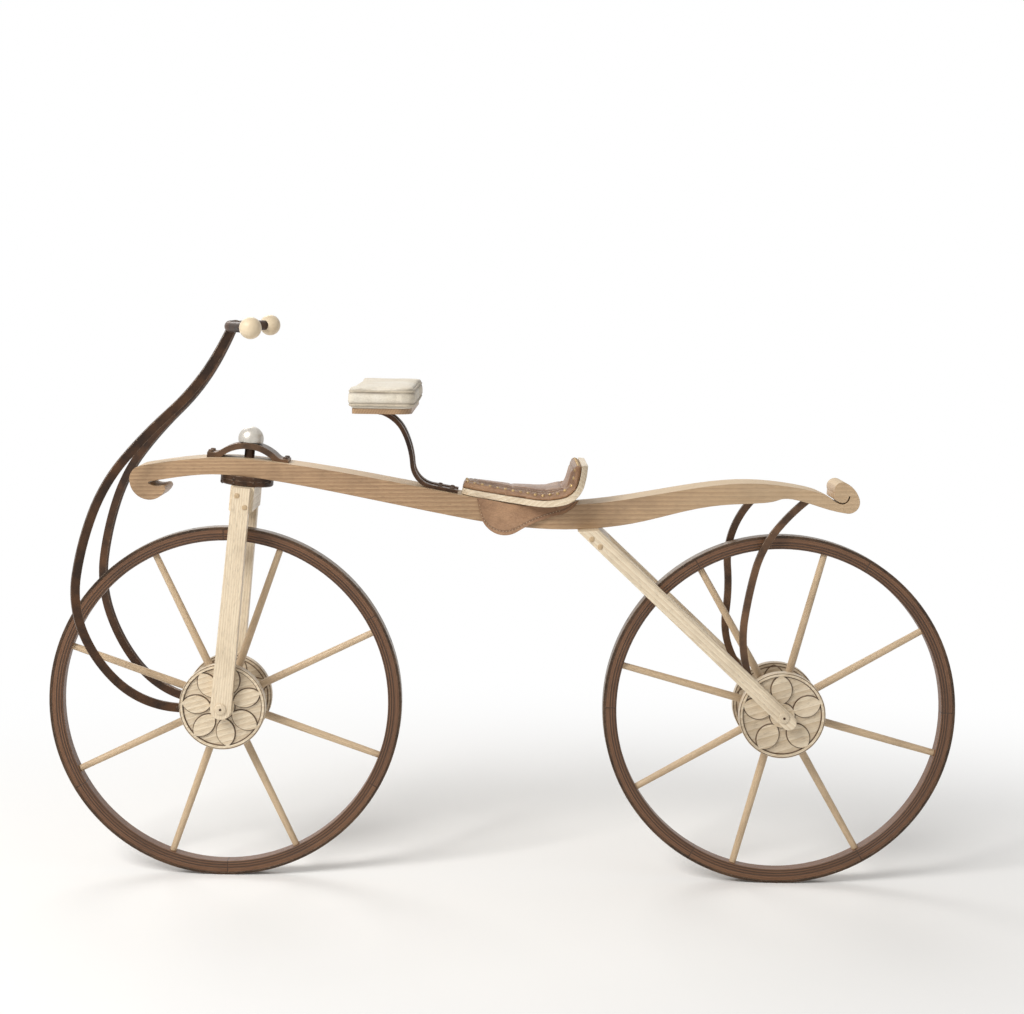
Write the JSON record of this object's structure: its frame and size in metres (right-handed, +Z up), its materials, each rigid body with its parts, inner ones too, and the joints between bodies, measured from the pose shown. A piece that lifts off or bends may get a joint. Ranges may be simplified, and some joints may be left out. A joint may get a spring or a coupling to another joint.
{
  "type": "dandy horse",
  "caption": "Wooden running machine with equal wheels in line, a raked steered fork with bent iron arms up to a bar handle, a saddle and an arm rest on a scrolled perch.",
  "frame": {"origin": "middle of the saddle's top, where the rider sits", "axes": "+X towards the rear along the perch, +Y to the machine's right, +Z up"},
  "size_m": [1.7999, 0.36, 1.117],
  "materials": {
    "perch_wood": "oiled ash, satin",
    "plank_wood": "pale oiled ash, satin",
    "wheel_wood": "turned and bent ash, satin",
    "plate_wood": "carved ash, satin",
    "black_iron": "forged iron, brown-black paint",
    "tyre_iron": "worn forged iron",
    "bright_iron": "polished iron",
    "knob_wood": "turned boxwood, polished",
    "saddle_leather": "brown hide, stitched"
  },
  "bodies": {
    "frame": {"perch_beam": "perch_wood", "spindle_bridge": "black_iron", "upper_turning_plate": "black_iron", "saddle_tree": "plank_wood", "saddle_seat": "saddle_leather", "saddle_flap_left": "saddle_leather", "saddle_flap_right": "saddle_leather", "rear_bolster": "plank_wood", "rear_strut_left": "plank_wood", "rear_strut_right": "plank_wood", "rear_stay_left": "black_iron", "rear_stay_right": "black_iron", "rear_boss_plate_left": "plate_wood", "rear_boss_plate_right": "plate_wood", "rear_axle": "black_iron", "arm_rest_board": "plank_wood", "arm_rest_pad": "saddle_leather", "arm_rest_stay_left": "black_iron", "arm_rest_stay_right": "black_iron"},
    "steering": {"spindle": "black_iron", "spindle_knob": "bright_iron", "lower_turning_plate": "black_iron", "fork_crown": "plank_wood", "fork_leg_left": "plank_wood", "fork_leg_right": "plank_wood", "front_boss_plate_left": "plate_wood", "front_boss_plate_right": "plate_wood", "steering_arm_left": "black_iron", "steering_arm_right": "black_iron", "handle_crossbar": "black_iron", "handle_knob_left": "knob_wood", "handle_knob_right": "knob_wood", "front_axle": "black_iron"},
    "front_wheel": {"front_tyre": "tyre_iron", "front_felloe": "wheel_wood", "front_spokes": "wheel_wood", "front_nave": "wheel_wood", "front_nave_bands": "tyre_iron"},
    "rear_wheel": {"rear_tyre": "tyre_iron", "rear_felloe": "wheel_wood", "rear_spokes": "wheel_wood", "rear_nave": "wheel_wood", "rear_nave_bands": "tyre_iron"}
  },
  "joints": [
    {"name": "steering_turn", "type": "hinge", "parent": "frame", "child": "steering", "pos_m": [-0.604, 0, -0.433], "axis": [0.0872, 0, 0.9962], "range_deg": [-40, 40]},
    {"name": "front_wheel_spin", "type": "hinge", "parent": "steering", "child": "front_wheel", "pos_m": [-0.604, 0, -0.433], "axis": [0, 1, 0], "continuous": true},
    {"name": "rear_wheel_spin", "type": "hinge", "parent": "frame", "child": "rear_wheel", "pos_m": [0.496, 0, -0.433], "axis": [0, 1, 0], "continuous": true}
  ]
}
